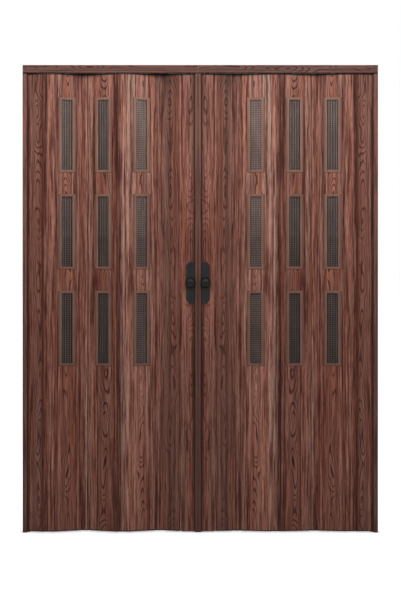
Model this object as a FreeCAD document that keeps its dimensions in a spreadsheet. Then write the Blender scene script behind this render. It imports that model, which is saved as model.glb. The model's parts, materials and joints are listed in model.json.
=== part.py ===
"""Pair of accordion closet doors under one head track, in millimetres.

Frame: origin on the floor at the middle of the doorway, +X to the right, +Y to the back, +Z up.
Each leaf is a zigzag of hollow slats joined by hinge strips. It starts at a jamb profile and ends
in a lead stile with a post. Every bead turns in the C-shaped socket along the edge of a slat.
"""
import FreeCAD, Part

import math
import os

import Sketcher

DRIVING_SIZES = {
    # leaf layout
    "slat_pitch": 128.0,            # bead to bead across a full slat
    "strip_pitch": 42.0,            # bead to bead across a hinge strip
    "left_rest_angle": 18.0,        # fold of the closed left leaf, degrees
    "right_rest_angle": 8.0,        # fold of the closed right leaf, degrees
    "meeting_gap": 0.4,
    # heights
    "door_height": 2050.0,
    "slat_floor_gap": 8.0,
    "stile_floor_gap": 5.0,
    "post_floor_gap": 2.0,
    "slat_head_gap": 1.5,           # slat top to the underside of the track
    "post_head_gap": 1.0,
    # slats and their hinges
    "slat_thickness": 10.0,
    "slat_wall": 1.2,
    "bead_radius": 3.0,
    "bead_clearance": 0.05,
    "web_thickness": 2.0,           # neck between a bead and its strip, stile or jamb
    "web_clearance": 0.3,
    "mouth_back": 1.8,              # how far a socket's mouth reaches past its bead
    "strip_thickness": 5.0,
    "strip_shoulder": 7.0,          # bead centre to the thick part of a strip
    "strip_slope": 2.0,
    # head track and jambs
    "track_height": 34.0,
    "track_depth": 48.0,
    "track_wall": 2.0,
    "track_slot": 14.0,
    "profile_bevel": 3.0,
    "jamb_width": 20.0,
    "jamb_wall": 2.0,
    "jamb_bead_offset": 8.0,        # jamb face to the first bead
    "screw_hole_radius": 2.25,
    "screw_access_side": 11.0,      # square opening in the jamb's face for the driver
    "jamb_screw_setback": 9.0,      # screw line behind the jamb's middle
    "jamb_screw_inset": 150.0,      # first and last screw from the jamb's ends
    "track_screw_inset": 70.0,
    # lead stile and post
    "stile_width": 57.0,
    "stile_thickness": 16.0,
    "stile_wall": 2.0,
    "stile_bead_offset": 15.0,      # last bead to the stile's edge
    "post_width": 14.0,
    "post_depth": 36.0,
    "post_wall": 2.0,
    "post_bevel": 1.5,
    # windows
    "window_width": 50.0,
    "window_height": 310.0,
    "window_head_margin": 114.5,    # slat top to the opening of the highest window
    "window_spacing": 115.0,        # between the openings of two windows
    "trim_side": 15.0,
    "trim_end": 10.5,
    "trim_proud": 3.0,
    "trim_overlap": 5.0,            # trim flange over the edge of the cut-out
    "trim_taper": 24.0,
    "collar_clearance": 0.15,
    "pane_thickness": 2.0,
    "pane_clearance": 0.2,
    "pane_lap": 8.0,                # pane held behind the trim's opening
    # hangers and gliders
    "plug_height": 40.0,
    "plug_clearance": 0.3,
    "plug_cap": 0.8,
    "pin_radius": 2.5,
    "pin_clearance": 0.05,
    "pin_head_side": 9.0,
    "pin_head_height": 3.0,
    "glider_length": 31.0,
    "glider_height": 6.0,
    "glider_clearance": 0.3,
    "glider_side_clearance": 0.5,
    "glider_corner": 6.0,
    "glider_neck_length": 13.0,
    "stile_plug_length": 18.0,
    "stile_glider_setback": 12.0,   # fixed gliders to the edges of the stile
    # handle
    "handle_height": 1095.0,        # floor to the knob's axis
    "knob_setback": 19.0,           # knob axis to the stile's leading edge
    "plate_width": 37.0,
    "plate_height": 183.0,
    "plate_thickness": 3.0,
    "plate_outer_cut": 12.0,        # corners away from the meeting line
    "plate_outer_shoulder": 18.0,
    "plate_inner_cut": 5.0,         # corners beside the meeting line
    "plate_inner_shoulder": 9.0,
    "plate_notch_drop": 46.0,
    "plate_notch_radius": 4.5,
    "plate_notch_offset": 1.0,      # notch centre outside the plate's edge
    "knob_radius": 23.0,
    "knob_neck_radius": 8.0,
    "knob_gap": 0.3,
    "knob_neck_length": 8.5,
    "knob_depth": 22.0,
    "spindle_side": 7.0,
    "spindle_clearance": 0.05,
    "spindle_seat": 12.0,           # length of spindle inside each knob
    "stile_hole_radius": 7.0,
    # latch
    "hook_hub_radius": 8.0,
    "hook_arm_width": 8.0,
    "hook_nose": 6.0,
    "hook_nose_length": 5.5,
    "hook_keep_clearance": 0.6,     # nose to the keep when the hook is out
    "hook_thickness": 3.0,
    "hook_side_clearance": 1.0,
    "hook_end_clearance": 1.5,
    "keep_thickness": 1.5,
    "keep_margin": 10.0,
}

# Counts.
WINDOW_ROWS = 3
FULL_SLAT_CELL_COUNT = 5
HALF_SLAT_CELL_COUNT = 3
JAMB_SCREWS = 4
TRACK_SCREWS = 4

doc = FreeCAD.newDocument("accordion_closet_doors")
sheet = doc.addObject("Spreadsheet::Sheet", "Sizes")
for row, (alias, size) in enumerate(DRIVING_SIZES.items(), start=1):
    sheet.set(f"A{row}", alias)
    sheet.set(f"B{row}", str(size))
    sheet.setAlias(f"B{row}", alias)
doc.recompute()

parts = {}


def number(expression):
    """Value of an expression on the sheet's sizes."""
    return float(sheet.evalExpression(expression))


def bind(item, prop, expression):
    item.setExpression(prop, expression)


# Expressions that several pieces share.
HALF_THICKNESS = "Sizes.slat_thickness / 2"
SOCKET = "(Sizes.bead_radius + Sizes.bead_clearance)"
MOUTH = "(Sizes.web_thickness / 2 + Sizes.web_clearance)"
TRACK_BOTTOM = "(Sizes.door_height - Sizes.track_height)"
SLAT_TOP = f"({TRACK_BOTTOM} - Sizes.slat_head_gap)"
SLAT_HEIGHT = f"({SLAT_TOP} - Sizes.slat_floor_gap)"
GLIDER_FOOT = f"({TRACK_BOTTOM} + Sizes.track_wall + Sizes.glider_clearance)"
GLIDER_WIDTH = "(Sizes.track_depth - 2 * Sizes.track_wall - 2 * Sizes.glider_side_clearance)"
GLIDER_NECK_WIDTH = "(Sizes.track_slot - 2 * Sizes.glider_side_clearance)"
GLIDER_NECK_FOOT = f"({SLAT_TOP} + Sizes.plug_cap + Sizes.glider_clearance)"
KNOB_FACE = "(Sizes.stile_thickness / 2 + Sizes.plate_thickness + Sizes.knob_gap)"
HOOK_REACH = ("(Sizes.knob_setback + Sizes.post_width + Sizes.meeting_gap + Sizes.post_wall"
              " + Sizes.keep_thickness + Sizes.hook_keep_clearance + Sizes.hook_nose_length)")
CUTOUT_WIDTH = "(Sizes.window_width + 2 * (Sizes.trim_side - Sizes.trim_overlap))"
CUTOUT_HEIGHT = "(Sizes.window_height + 2 * (Sizes.trim_end - Sizes.trim_overlap))"


# ---------------------------------------------------------------- sketching tools

def make_body(name):
    body = doc.addObject("PartDesign::Body", name)
    body.Label = name
    parts[name] = body
    return body


def make_sketch(body, plane_role, offset=None):
    """Sketch on one of the body's own origin planes, moved along the plane's normal."""
    sketch = body.newObject("Sketcher::SketchObject", body.Name + "_sketch")
    plane = [item for item in body.Origin.OriginFeatures if item.Role == plane_role][0]
    sketch.AttachmentSupport = [(plane, "")]
    sketch.MapMode = "FlatFace"
    if offset is not None:
        bind(sketch, "AttachmentOffset.Base.z", offset)
    return sketch


def fix_point(sketch, edge, end, corner):
    for kind, expression in zip(("DistanceX", "DistanceY"), corner):
        rule = Sketcher.Constraint(kind, edge, end, number(expression))
        bind(sketch, f"Constraints[{sketch.addConstraint(rule)}]", expression)


def point(corner):
    return FreeCAD.Vector(number(corner[0]), number(corner[1]), 0)


def arc_edge(sketch, start, end, centre, radius, anticlockwise):
    """Arc between two corners; returns its index and which end is its start."""
    if not anticlockwise:
        start, end = end, start
    middle = point(centre)
    first = point(start) - middle
    last = point(end) - middle
    circle = Part.Circle(middle, FreeCAD.Vector(0, 0, 1), number(radius))
    arc = Part.ArcOfCircle(circle, math.atan2(first.y, first.x), math.atan2(last.y, last.x))
    edge = sketch.addGeometry(arc, False)
    rule = sketch.addConstraint(Sketcher.Constraint("Radius", edge, number(radius)))
    bind(sketch, f"Constraints[{rule}]", radius)
    return edge, (1, 2) if anticlockwise else (2, 1)


def draw_outline(sketch, corners):
    """Closed outline. A corner is (x, y), or (x, y, arc) where an arc leaves it:
    arc = (centre, radius, anticlockwise)."""
    edges = []
    for index, corner in enumerate(corners):
        following = corners[(index + 1) % len(corners)]
        if len(corner) == 3:
            edges.append(arc_edge(sketch, corner[:2], following[:2], *corner[2]))
        else:
            line = Part.LineSegment(point(corner[:2]), point(following[:2]))
            edges.append((sketch.addGeometry(line, False), (1, 2)))
    for index, (edge, ends) in enumerate(edges):
        following, following_ends = edges[(index + 1) % len(edges)]
        joint = Sketcher.Constraint("Coincident", edge, ends[1], following, following_ends[0])
        sketch.addConstraint(joint)
    for corner, (edge, ends) in zip(corners, edges):
        fix_point(sketch, edge, ends[0], corner[:2])


def draw_rectangle(sketch, low, high):
    draw_outline(sketch, [(low[0], low[1]), (high[0], low[1]), (high[0], high[1]), (low[0], high[1])])


def draw_circle(sketch, centre, radius):
    circle = Part.Circle(point(centre), FreeCAD.Vector(0, 0, 1), number(radius))
    edge = sketch.addGeometry(circle, False)
    rule = sketch.addConstraint(Sketcher.Constraint("Radius", edge, number(radius)))
    bind(sketch, f"Constraints[{rule}]", radius)
    fix_point(sketch, edge, 3, centre)


def pad(body, sketch, length, symmetric=False, reverse=False, taper=None):
    feature = body.newObject("PartDesign::Pad", body.Name + "_pad")
    feature.Profile = sketch
    feature.SideType = "Symmetric" if symmetric else "One side"
    feature.Reversed = reverse
    bind(feature, "Length", length)
    if taper:
        bind(feature, "TaperAngle", taper)
    return feature


def pocket(body, sketch, length=None, reverse=False):
    """Cut; with no length it goes through everything on both sides."""
    doc.recompute()
    before = body.Shape.Volume
    feature = body.newObject("PartDesign::Pocket", body.Name + "_pocket")
    feature.Profile = sketch
    feature.Reversed = reverse
    if length:
        bind(feature, "Length", length)
    else:
        feature.Type = "ThroughAll"
        feature.SideType = "Symmetric"
    doc.recompute()
    if body.Shape.Volume >= before:
        raise RuntimeError(f"a pocket of {body.Label} cuts nothing")
    return feature


def place(item, x, y, z, turn=0.0):
    """Set a piece at a point, turned about the vertical by degrees."""
    rotation = FreeCAD.Rotation(FreeCAD.Vector(0, 0, 1), turn)
    item.Placement = FreeCAD.Placement(FreeCAD.Vector(x, y, z), rotation)


def minus(expression):
    return f"-({expression})"


# ---------------------------------------------------------------- layout of the leaves

class Leaf:
    """Positions of one leaf at rest. side is -1 for the left leaf and +1 for the right.

    Distances run from the outer face of the jamb towards the middle of the doorway.
    """

    def __init__(self, name, side, angle):
        self.name = name
        self.side = side
        self.angle = number(angle)
        self.cosine = math.cos(math.radians(self.angle))
        self.sine = math.sin(math.radians(self.angle))
        self.outer_x = 0.0
        self.slat_runs = []
        self.strip_runs = []
        self.lay_out()

    def lay_out(self):
        slat = number("Sizes.slat_pitch")
        strip = number("Sizes.strip_pitch")
        along = number("Sizes.jamb_width + Sizes.jamb_bead_offset")
        across = 0.0
        lengths = [slat / 2, slat, slat, slat, slat / 2]
        for index, length in enumerate(lengths):
            forward = -1 if index % 2 == 0 else 1
            run = length * self.cosine
            rise = forward * length * self.sine
            self.slat_runs.append((along + run / 2, across + rise / 2, forward))
            along += run
            across += rise
            if index < len(lengths) - 1:
                self.strip_runs.append((along + strip / 2, across))
                along += strip
        self.stile_start = along + number("Sizes.stile_bead_offset")
        self.post_start = self.stile_start + number("Sizes.stile_width")
        self.width = self.post_start + number("Sizes.post_width + Sizes.meeting_gap / 2")

    def x(self, along):
        """Place along the leaf as an x in the doorway."""
        return self.outer_x - self.side * along

    def facing(self):
        """Turn of a piece drawn with its leading edge towards +X."""
        return 0.0 if self.side < 0 else 180.0

    def slat_turn(self, forward):
        """Turn of a slat whose inner end lies to the front (-1) or to the back (+1)."""
        return -self.side * forward * self.angle


left = Leaf("left", -1, "Sizes.left_rest_angle")
right = Leaf("right", 1, "Sizes.right_rest_angle")
DOORWAY_WIDTH = left.width + right.width
left.outer_x = -DOORWAY_WIDTH / 2
right.outer_x = DOORWAY_WIDTH / 2


# ---------------------------------------------------------------- slats

def socket_outline(half_length, hand):
    """Outline of a slat with an open socket at each end.

    The mouth of the right-hand socket opens towards +y when hand is +1 and towards -y when it is
    -1. The left-hand socket is the same after half a turn.
    """
    outer = HALF_THICKNESS
    lip = f"sqrt(({outer})^2 - {MOUTH}^2)"
    throat = f"sqrt({SOCKET}^2 - {MOUTH}^2)"
    rim = f"sqrt({SOCKET}^2 - Sizes.mouth_back^2)"
    end = half_length
    turned = hand > 0
    right_end = [
        (end, minus(outer), ((end, "0"), outer, turned)),
        (f"{end} + {lip}", minus(MOUTH)),
        (f"{end} + {throat}", minus(MOUTH), ((end, "0"), SOCKET, not turned)),
        (f"{end} - Sizes.mouth_back", rim),
        (f"{end} - Sizes.mouth_back", outer),
    ]
    corners = []
    for half_turn in (False, True):
        for corner in right_end:
            x, y = corner[:2]
            if half_turn:
                x, y = minus(x), minus(y)
            if hand < 0:
                y = minus(y)
            if len(corner) == 3:
                centre, radius, anticlockwise = corner[2]
                if half_turn:
                    centre = (minus(centre[0]), "0")
                corners.append((x, y, (centre, radius, anticlockwise)))
            else:
                corners.append((x, y))
    return corners


def draw_cells(sketch, half_length, count):
    """Row of hollow chambers between the two sockets."""
    inner = f"({half_length} - {HALF_THICKNESS})"
    cell = f"((2 * {inner} - {count - 1} * Sizes.slat_wall) / {count})"
    half_depth = f"({HALF_THICKNESS} - Sizes.slat_wall)"
    for index in range(count):
        start = f"-{inner} + {index} * ({cell} + Sizes.slat_wall)"
        draw_rectangle(sketch, (start, minus(half_depth)), (f"{start} + {cell}", half_depth))


def window_middle(index):
    """Middle of a window above the bottom of its slat, counted from the top window down."""
    top_middle = f"{SLAT_HEIGHT} - Sizes.window_head_margin - Sizes.window_height / 2"
    return f"({top_middle} - {index} * (Sizes.window_height + Sizes.window_spacing))"


def draw_window_rows(sketch, width, height):
    for index in range(WINDOW_ROWS):
        middle = window_middle(index)
        low = (f"-{width} / 2", f"{middle} - {height} / 2")
        high = (f"{width} / 2", f"{middle} + {height} / 2")
        draw_rectangle(sketch, low, high)


def put_on_slat(item, leaf, order):
    along, across, forward = leaf.slat_runs[order]
    place(item, leaf.x(along), across, number("Sizes.slat_floor_gap"), leaf.slat_turn(forward))


def make_slat(name, leaf, order, windows):
    half_length = "(Sizes.slat_pitch / 2)" if windows else "(Sizes.slat_pitch / 4)"
    hand = leaf.side * leaf.slat_runs[order][2]
    body = make_body(name)
    sketch = make_sketch(body, "XY_Plane")
    draw_outline(sketch, socket_outline(half_length, hand))
    draw_cells(sketch, half_length, FULL_SLAT_CELL_COUNT if windows else HALF_SLAT_CELL_COUNT)
    pad(body, sketch, SLAT_HEIGHT)
    if windows:
        cutouts = make_sketch(body, "XZ_Plane")
        draw_window_rows(cutouts, CUTOUT_WIDTH, CUTOUT_HEIGHT)
        pocket(body, cutouts)
    put_on_slat(body, leaf, order)


def make_strip(name, leaf, order):
    along, across = leaf.strip_runs[order]
    half_web = "Sizes.web_thickness / 2"
    half_body = "Sizes.strip_thickness / 2"
    bead = "Sizes.strip_pitch / 2"
    root = f"({bead} - sqrt(Sizes.bead_radius^2 - ({half_web})^2))"
    shoulder = f"({bead} - Sizes.strip_shoulder)"
    flat = f"({shoulder} - Sizes.strip_slope)"
    half = [
        (flat, minus(half_body)),
        (shoulder, minus(half_web)),
        (root, minus(half_web), ((bead, "0"), "Sizes.bead_radius", True)),
        (root, half_web),
        (shoulder, half_web),
        (flat, half_body),
    ]
    other = []
    for corner in half:
        turned = (minus(corner[0]), minus(corner[1]))
        if len(corner) == 3:
            turned += (((minus(bead), "0"), "Sizes.bead_radius", True),)
        other.append(turned)
    body = make_body(name)
    sketch = make_sketch(body, "XY_Plane")
    draw_outline(sketch, half + other)
    pad(body, sketch, SLAT_HEIGHT)
    place(body, leaf.x(along), across, number("Sizes.slat_floor_gap"))


# ---------------------------------------------------------------- windows

def ring_pad(body, outer, inner, start, length, reverse, taper=None):
    """Frames round all the windows of a slat, padded from a plane in front of or behind it."""
    sketch = make_sketch(body, "XZ_Plane", start)
    draw_window_rows(sketch, *outer)
    draw_window_rows(sketch, *inner)
    pad(body, sketch, length, reverse=reverse, taper=taper)


def make_window_trims(name, leaf, order):
    """Front and back trim frames of one slat: a bevelled flange outside and a collar inside."""
    flange = ("(Sizes.window_width + 2 * Sizes.trim_side)",
              "(Sizes.window_height + 2 * Sizes.trim_end)")
    collar = (f"({CUTOUT_WIDTH} - 2 * Sizes.collar_clearance)",
              f"({CUTOUT_HEIGHT} - 2 * Sizes.collar_clearance)")
    opening = ("Sizes.window_width", "Sizes.window_height")
    depth = f"({HALF_THICKNESS} - Sizes.pane_thickness / 2 - Sizes.pane_clearance)"
    body = make_body(name)
    for reverse in (False, True):
        face = minus(HALF_THICKNESS) if reverse else HALF_THICKNESS
        ring_pad(body, collar, opening, face, depth, not reverse)
        ring_pad(body, flange, opening, face, "Sizes.trim_proud", reverse, "-Sizes.trim_taper")
    put_on_slat(body, leaf, order)


def make_window_panes(name, leaf, order):
    size = ("(Sizes.window_width + 2 * Sizes.pane_lap)", "(Sizes.window_height + 2 * Sizes.trim_overlap)")
    body = make_body(name)
    sketch = make_sketch(body, "XZ_Plane")
    draw_window_rows(sketch, *size)
    pad(body, sketch, "Sizes.pane_thickness", symmetric=True)
    put_on_slat(body, leaf, order)


# ---------------------------------------------------------------- hangers and gliders

def make_box(name, length, width, height, x, y, z):
    box = doc.addObject("Part::Box", name)
    for prop, expression in zip(("Length", "Width", "Height"), (length, width, height)):
        bind(box, prop, expression)
    for prop, expression in zip("xyz", (x, y, z)):
        bind(box, f"Placement.Base.{prop}", expression)
    return box


def make_cylinder(name, radius, height, z):
    cylinder = doc.addObject("Part::Cylinder", name)
    bind(cylinder, "Radius", radius)
    bind(cylinder, "Height", height)
    bind(cylinder, "Placement.Base.z", z)
    return cylinder


def centred_box(name, length, width, height, z, x="0"):
    return make_box(name, length, width, height, f"{x} - {length} / 2", f"-{width} / 2", z)


def fuse(name, pieces):
    union = doc.addObject("Part::MultiFuse", name)
    union.Shapes = pieces
    return union


def make_hanger(name, leaf, order):
    """Plug in the slat's middle chamber, with a cap on the slat and a headed pin in the track."""
    walls = f"{FULL_SLAT_CELL_COUNT - 1} * Sizes.slat_wall"
    cell = (f"((Sizes.slat_pitch - Sizes.slat_thickness - {walls}) / {FULL_SLAT_CELL_COUNT}"
            " - 2 * Sizes.plug_clearance)")
    depth = "(Sizes.slat_thickness - 2 * Sizes.slat_wall - 2 * Sizes.plug_clearance)"
    head_foot = f"({GLIDER_FOOT} + Sizes.glider_height + Sizes.glider_clearance)"
    plug = centred_box(name + "_plug", cell, depth, "Sizes.plug_height",
                       f"{SLAT_TOP} - Sizes.plug_height")
    cap = centred_box(name + "_cap", f"({cell} + 2 * Sizes.slat_wall)", "Sizes.slat_thickness",
                      "Sizes.plug_cap", SLAT_TOP)
    pin = make_cylinder(name + "_pin", "Sizes.pin_radius", f"{head_foot} - {SLAT_TOP}", SLAT_TOP)
    head = centred_box(name + "_head", "Sizes.pin_head_side", "Sizes.pin_head_side",
                       "Sizes.pin_head_height", head_foot)
    hanger = fuse(name, [plug, cap, pin, head])
    parts[name] = hanger
    along, across, forward = leaf.slat_runs[order]
    place(hanger, leaf.x(along), across, 0, leaf.slat_turn(forward))


def glider_shoe(body, x="0"):
    """Shoe that slides on the track's flanges, with a neck down through the slot."""
    long = "Sizes.glider_length / 2"
    wide = f"{GLIDER_WIDTH} / 2"
    cut = "Sizes.glider_corner"
    shoe = make_sketch(body, "XY_Plane", GLIDER_FOOT)
    draw_outline(shoe, [
        (f"{x} - {long} + {cut}", minus(wide)), (f"{x} + {long} - {cut}", minus(wide)),
        (f"{x} + {long}", f"-{wide} + {cut}"), (f"{x} + {long}", f"{wide} - {cut}"),
        (f"{x} + {long} - {cut}", wide), (f"{x} - {long} + {cut}", wide),
        (f"{x} - {long}", f"{wide} - {cut}"), (f"{x} - {long}", f"-{wide} + {cut}"),
    ])
    pad(body, shoe, "Sizes.glider_height")
    neck = make_sketch(body, "XY_Plane", GLIDER_FOOT)
    draw_rectangle(neck, (f"{x} - Sizes.glider_neck_length / 2", f"-{GLIDER_NECK_WIDTH} / 2"),
                   (f"{x} + Sizes.glider_neck_length / 2", f"{GLIDER_NECK_WIDTH} / 2"))
    pad(body, neck, f"{GLIDER_FOOT} - {GLIDER_NECK_FOOT}", reverse=True)


def make_glider(name, leaf, order):
    body = make_body(name)
    glider_shoe(body)
    bore = make_sketch(body, "XY_Plane")
    draw_circle(bore, ("0", "0"), "Sizes.pin_radius + Sizes.pin_clearance")
    pocket(body, bore)
    place(body, leaf.x(leaf.slat_runs[order][0]), 0, 0)


def make_stile_gliders(name, leaf):
    """Two gliders on stems that plug into the top of the lead stile."""
    depth = "(Sizes.stile_thickness - 2 * Sizes.stile_wall - 2 * Sizes.plug_clearance)"
    gliders = []
    for order, x in enumerate(("Sizes.stile_glider_setback",
                               "(Sizes.stile_width - Sizes.stile_glider_setback)")):
        piece = f"{name}_{order}"
        shoe = doc.addObject("PartDesign::Body", piece + "_shoe")
        glider_shoe(shoe, x)
        plug = centred_box(piece + "_plug", "Sizes.stile_plug_length", depth, "Sizes.plug_height",
                           f"{SLAT_TOP} - Sizes.plug_height", x)
        cap = centred_box(piece + "_cap", "(Sizes.stile_plug_length + Sizes.stile_wall)",
                          "Sizes.stile_thickness", "(Sizes.plug_cap + Sizes.glider_clearance)",
                          SLAT_TOP, x)
        gliders.append(fuse(piece, [shoe, cap, plug]))
    pair = doc.addObject("Part::Compound", name)
    pair.Links = gliders
    parts[name] = pair
    place(pair, leaf.x(leaf.stile_start), 0, 0, leaf.facing())


# ---------------------------------------------------------------- head track and jambs

def make_track(name, leaf):
    """C-shaped head track over one leaf: a slot below for the gliders and a bevel in front."""
    half = "Sizes.track_depth / 2"
    inside = f"({half} - Sizes.track_wall)"
    slot = "Sizes.track_slot / 2"
    top = "Sizes.track_height"
    roof = f"({top} - Sizes.track_wall)"
    body = make_body(name)
    sketch = make_sketch(body, "YZ_Plane")
    outline = [
        (slot, "0"), (half, "0"), (half, top), (minus(half), top),
        (minus(half), "Sizes.profile_bevel"), (f"-{half} + Sizes.profile_bevel", "0"),
        (minus(slot), "0"), (minus(slot), "Sizes.track_wall"), (minus(inside), "Sizes.track_wall"),
        (minus(inside), roof), (inside, roof), (inside, "Sizes.track_wall"),
        (slot, "Sizes.track_wall"),
    ]
    if leaf.side > 0:
        outline = [(minus(across), up) for across, up in outline]
    draw_outline(sketch, outline)
    length = f"({leaf.width} - Sizes.meeting_gap / 2)"
    pad(body, sketch, length)
    holes = make_sketch(body, "XY_Plane", top)
    inset = "Sizes.track_screw_inset"
    for index in range(TRACK_SCREWS):
        x = f"{inset} + {index} * ({length} - 2 * {inset}) / {TRACK_SCREWS - 1}"
        draw_circle(holes, (x, "0"), "Sizes.screw_hole_radius")
    pocket(body, holes, "Sizes.track_wall")
    place(body, leaf.outer_x, 0, number(TRACK_BOTTOM), leaf.facing())


def make_jamb(name, leaf):
    """Hollow jamb profile with the bead that carries the first half slat.

    Each screw goes through the wall side, and its driver through a square opening in the face.
    """
    half = "Sizes.track_depth / 2"
    face = "Sizes.jamb_width"
    bevel = "Sizes.profile_bevel"
    half_web = "Sizes.web_thickness / 2"
    bead = f"({face} + Sizes.jamb_bead_offset)"
    root = f"({bead} - sqrt(Sizes.bead_radius^2 - ({half_web})^2))"
    body = make_body(name)
    sketch = make_sketch(body, "XY_Plane")
    draw_outline(sketch, [
        ("0", minus(half)), (f"{face} - {bevel}", minus(half)), (face, f"-{half} + {bevel}"),
        (face, minus(half_web)),
        (root, minus(half_web), ((bead, "0"), "Sizes.bead_radius", True)),
        (root, half_web), (face, half_web), (face, f"{half} - {bevel}"),
        (f"{face} - {bevel}", half), ("0", half),
    ])
    inside = f"({half} - Sizes.jamb_wall)"
    draw_outline(sketch, [
        ("Sizes.jamb_wall", minus(inside)), (f"{face} - {bevel}", minus(inside)),
        (f"{face} - Sizes.jamb_wall", f"-{half} + {bevel}"),
        (f"{face} - Sizes.jamb_wall", f"{half} - {bevel}"),
        (f"{face} - {bevel}", inside), ("Sizes.jamb_wall", inside),
    ])
    pad(body, sketch, TRACK_BOTTOM)
    setback = "Sizes.jamb_screw_setback" if leaf.side < 0 else "-Sizes.jamb_screw_setback"
    holes = make_sketch(body, "YZ_Plane", face)
    openings = make_sketch(body, "YZ_Plane", face)
    reach = "Sizes.screw_access_side / 2"
    inset = "Sizes.jamb_screw_inset"
    for index in range(JAMB_SCREWS):
        height = f"({inset} + {index} * ({TRACK_BOTTOM} - 2 * {inset}) / {JAMB_SCREWS - 1})"
        draw_circle(holes, (setback, height), "Sizes.screw_hole_radius")
        draw_rectangle(openings, (f"{setback} - {reach}", f"{height} - {reach}"),
                       (f"{setback} + {reach}", f"{height} + {reach}"))
    pocket(body, holes, face)
    pocket(body, openings, f"{face} - Sizes.jamb_wall")
    place(body, leaf.outer_x, 0, 0, leaf.facing())


# ---------------------------------------------------------------- lead stile and post

def latch_slot(body, plane_offset, depth, floor_gap):
    """Slot that lets the latch hook swing out, cut back from a face that looks along +X."""
    sketch = make_sketch(body, "YZ_Plane", plane_offset)
    half = "(Sizes.hook_thickness / 2 + Sizes.hook_side_clearance)"
    axis = f"(Sizes.handle_height - {floor_gap})"
    low = f"{axis} - {HOOK_REACH} - Sizes.hook_end_clearance"
    high = f"{axis} + Sizes.hook_arm_width / 2 + Sizes.hook_end_clearance"
    draw_rectangle(sketch, (minus(half), low), (half, high))
    pocket(body, sketch, depth)


def make_lead_stile(name, leaf):
    """Hollow handle stile with the web and bead that carry it on the last half slat."""
    half = "Sizes.stile_thickness / 2"
    half_web = "Sizes.web_thickness / 2"
    bead = "-Sizes.stile_bead_offset"
    root = f"({bead} + sqrt(Sizes.bead_radius^2 - ({half_web})^2))"
    body = make_body(name)
    sketch = make_sketch(body, "XY_Plane")
    draw_outline(sketch, [
        ("0", minus(half)), ("Sizes.stile_width", minus(half)), ("Sizes.stile_width", half),
        ("0", half), ("0", half_web),
        (root, half_web, ((bead, "0"), "Sizes.bead_radius", True)),
        (root, minus(half_web)), ("0", minus(half_web)),
    ])
    wall = "Sizes.stile_wall"
    draw_rectangle(sketch, (wall, f"-{half} + {wall}"), (f"Sizes.stile_width - {wall}", f"{half} - {wall}"))
    pad(body, sketch, f"{SLAT_TOP} - Sizes.stile_floor_gap")
    spindle_hole = make_sketch(body, "XZ_Plane")
    centre = ("Sizes.stile_width - Sizes.knob_setback", "Sizes.handle_height - Sizes.stile_floor_gap")
    draw_circle(spindle_hole, centre, "Sizes.stile_hole_radius")
    pocket(body, spindle_hole)
    if leaf is left:
        latch_slot(body, "Sizes.stile_width", wall, "Sizes.stile_floor_gap")
    place(body, leaf.x(leaf.stile_start), 0, number("Sizes.stile_floor_gap"), leaf.facing())


def make_lead_post(name, leaf):
    """Deep hollow post on the leading edge, nearly as deep as the track it runs under."""
    half = "Sizes.post_depth / 2"
    wide = "Sizes.post_width"
    bevel = "Sizes.post_bevel"
    wall = "Sizes.post_wall"
    body = make_body(name)
    sketch = make_sketch(body, "XY_Plane")
    draw_outline(sketch, [
        (bevel, minus(half)), (f"{wide} - {bevel}", minus(half)), (wide, f"-{half} + {bevel}"),
        (wide, f"{half} - {bevel}"), (f"{wide} - {bevel}", half), (bevel, half),
        ("0", f"{half} - {bevel}"), ("0", f"-{half} + {bevel}"),
    ])
    draw_rectangle(sketch, (wall, f"-{half} + {wall}"), (f"{wide} - {wall}", f"{half} - {wall}"))
    pad(body, sketch, f"{TRACK_BOTTOM} - Sizes.post_head_gap - Sizes.post_floor_gap")
    latch_slot(body, wide, wide if leaf is left else wall, "Sizes.post_floor_gap")
    place(body, leaf.x(leaf.post_start), 0, number("Sizes.post_floor_gap"), leaf.facing())


# ---------------------------------------------------------------- handle and latch

def knob_x(leaf):
    return leaf.x(leaf.post_start - number("Sizes.knob_setback"))


def make_handle_plates(name, leaf):
    """Front and back plates: cut corners, a notch in the leading edge and a bore for the spindle."""
    half = "Sizes.plate_width / 2"
    tall = "Sizes.plate_height / 2"
    outer_flat = f"-{half} + Sizes.plate_outer_cut"
    inner_flat = f"{half} - Sizes.plate_inner_cut"
    notch = "Sizes.plate_notch_radius"
    notch_middle = (f"({half} + Sizes.plate_notch_offset)", "-Sizes.plate_notch_drop")
    notch_half = f"sqrt({notch}^2 - Sizes.plate_notch_offset^2)"
    seat = "Sizes.stile_thickness / 2"
    body = make_body(name)
    for reverse in (False, True):
        face = minus(seat) if reverse else seat
        sketch = make_sketch(body, "XZ_Plane", face)
        draw_outline(sketch, [
            (outer_flat, minus(tall)), (inner_flat, minus(tall)),
            (half, f"-{tall} + Sizes.plate_inner_shoulder"),
            (half, f"{notch_middle[1]} - {notch_half}", (notch_middle, notch, False)),
            (half, f"{notch_middle[1]} + {notch_half}"),
            (half, f"{tall} - Sizes.plate_inner_shoulder"), (inner_flat, tall), (outer_flat, tall),
            (minus(half), f"{tall} - Sizes.plate_outer_shoulder"),
            (minus(half), f"-{tall} + Sizes.plate_outer_shoulder"),
        ])
        pad(body, sketch, "Sizes.plate_thickness", reverse=reverse)
    bore = make_sketch(body, "XZ_Plane")
    draw_circle(bore, ("0", "0"), "sqrt(2) * Sizes.spindle_side / 2 + Sizes.spindle_clearance")
    pocket(body, bore)
    place(body, knob_x(leaf), 0, number("Sizes.handle_height"), leaf.facing())


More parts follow.
